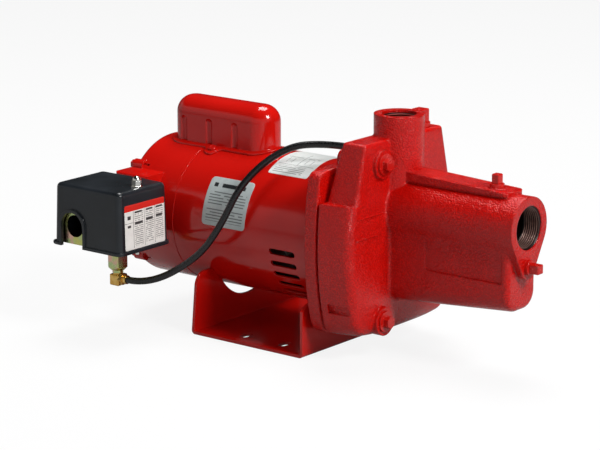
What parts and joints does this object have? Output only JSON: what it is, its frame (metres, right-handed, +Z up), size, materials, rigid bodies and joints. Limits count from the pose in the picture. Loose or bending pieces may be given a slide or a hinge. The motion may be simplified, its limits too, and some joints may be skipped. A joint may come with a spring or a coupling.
{
  "type": "jet pump",
  "caption": "Shallow-well jet pump: capacitor-start electric motor, cast casing with ejector housing, pressure switch with sensing tube, bent sheet base",
  "frame": {"origin": "centre of the base foot, on its underside", "axes": "+X along the shaft towards the suction port, +Y away from the pressure switch, +Z up along the discharge port"},
  "size_m": [0.477, 0.2509, 0.2363],
  "materials": {
    "red_casting": "gloss red enamel over sand-cast iron",
    "red_sheet": "gloss red enamel on steel sheet",
    "red_hardware": "gloss red enamel over steel bolts and plugs",
    "gasket_black": "black seal plate",
    "cover_black": "satin black moulded plastic",
    "tube_black": "satin black tube",
    "zinc_yellow": "yellow chromate zinc plate",
    "zinc_bright": "bright zinc plate",
    "brass": "plain brass",
    "lamination": "stacked steel laminations",
    "copper_winding": "varnished copper wire",
    "steel": "turned steel",
    "phenolic": "dark phenolic moulding"
  },
  "bodies": {
    "root": {"motor_shell": "red_sheet", "stator_core": "lamination", "winding_front": "copper_winding", "winding_rear": "copper_winding", "rotor_shaft": "steel", "front_end_bell": "red_casting", "rear_end_bell": "red_sheet", "rear_cover": "red_sheet", "rear_cover_screws": "red_hardware", "through_bolts": "red_hardware", "capacitor_cover": "red_sheet", "capacitor_cover_screws": "red_hardware", "start_capacitor": "phenolic", "base_bracket": "red_sheet", "base_bolts": "red_hardware", "mounting_ring": "red_casting", "seal_plate": "gasket_black", "pump_casing": "red_casting", "casing_bolts": "red_hardware", "priming_plug": "red_hardware", "gauge_plug": "red_hardware", "cleaning_plug": "red_hardware", "switch_cover": "cover_black", "switch_plate": "zinc_yellow", "switch_stud": "zinc_bright", "acorn_nut": "zinc_bright", "contact_block": "phenolic", "diaphragm_housing": "zinc_yellow", "hex_fitting": "zinc_yellow", "brass_elbow": "brass", "conduit_nipple": "zinc_bright", "sensing_tube": "tube_black", "pump_barb": "brass"}
  },
  "joints": []
}
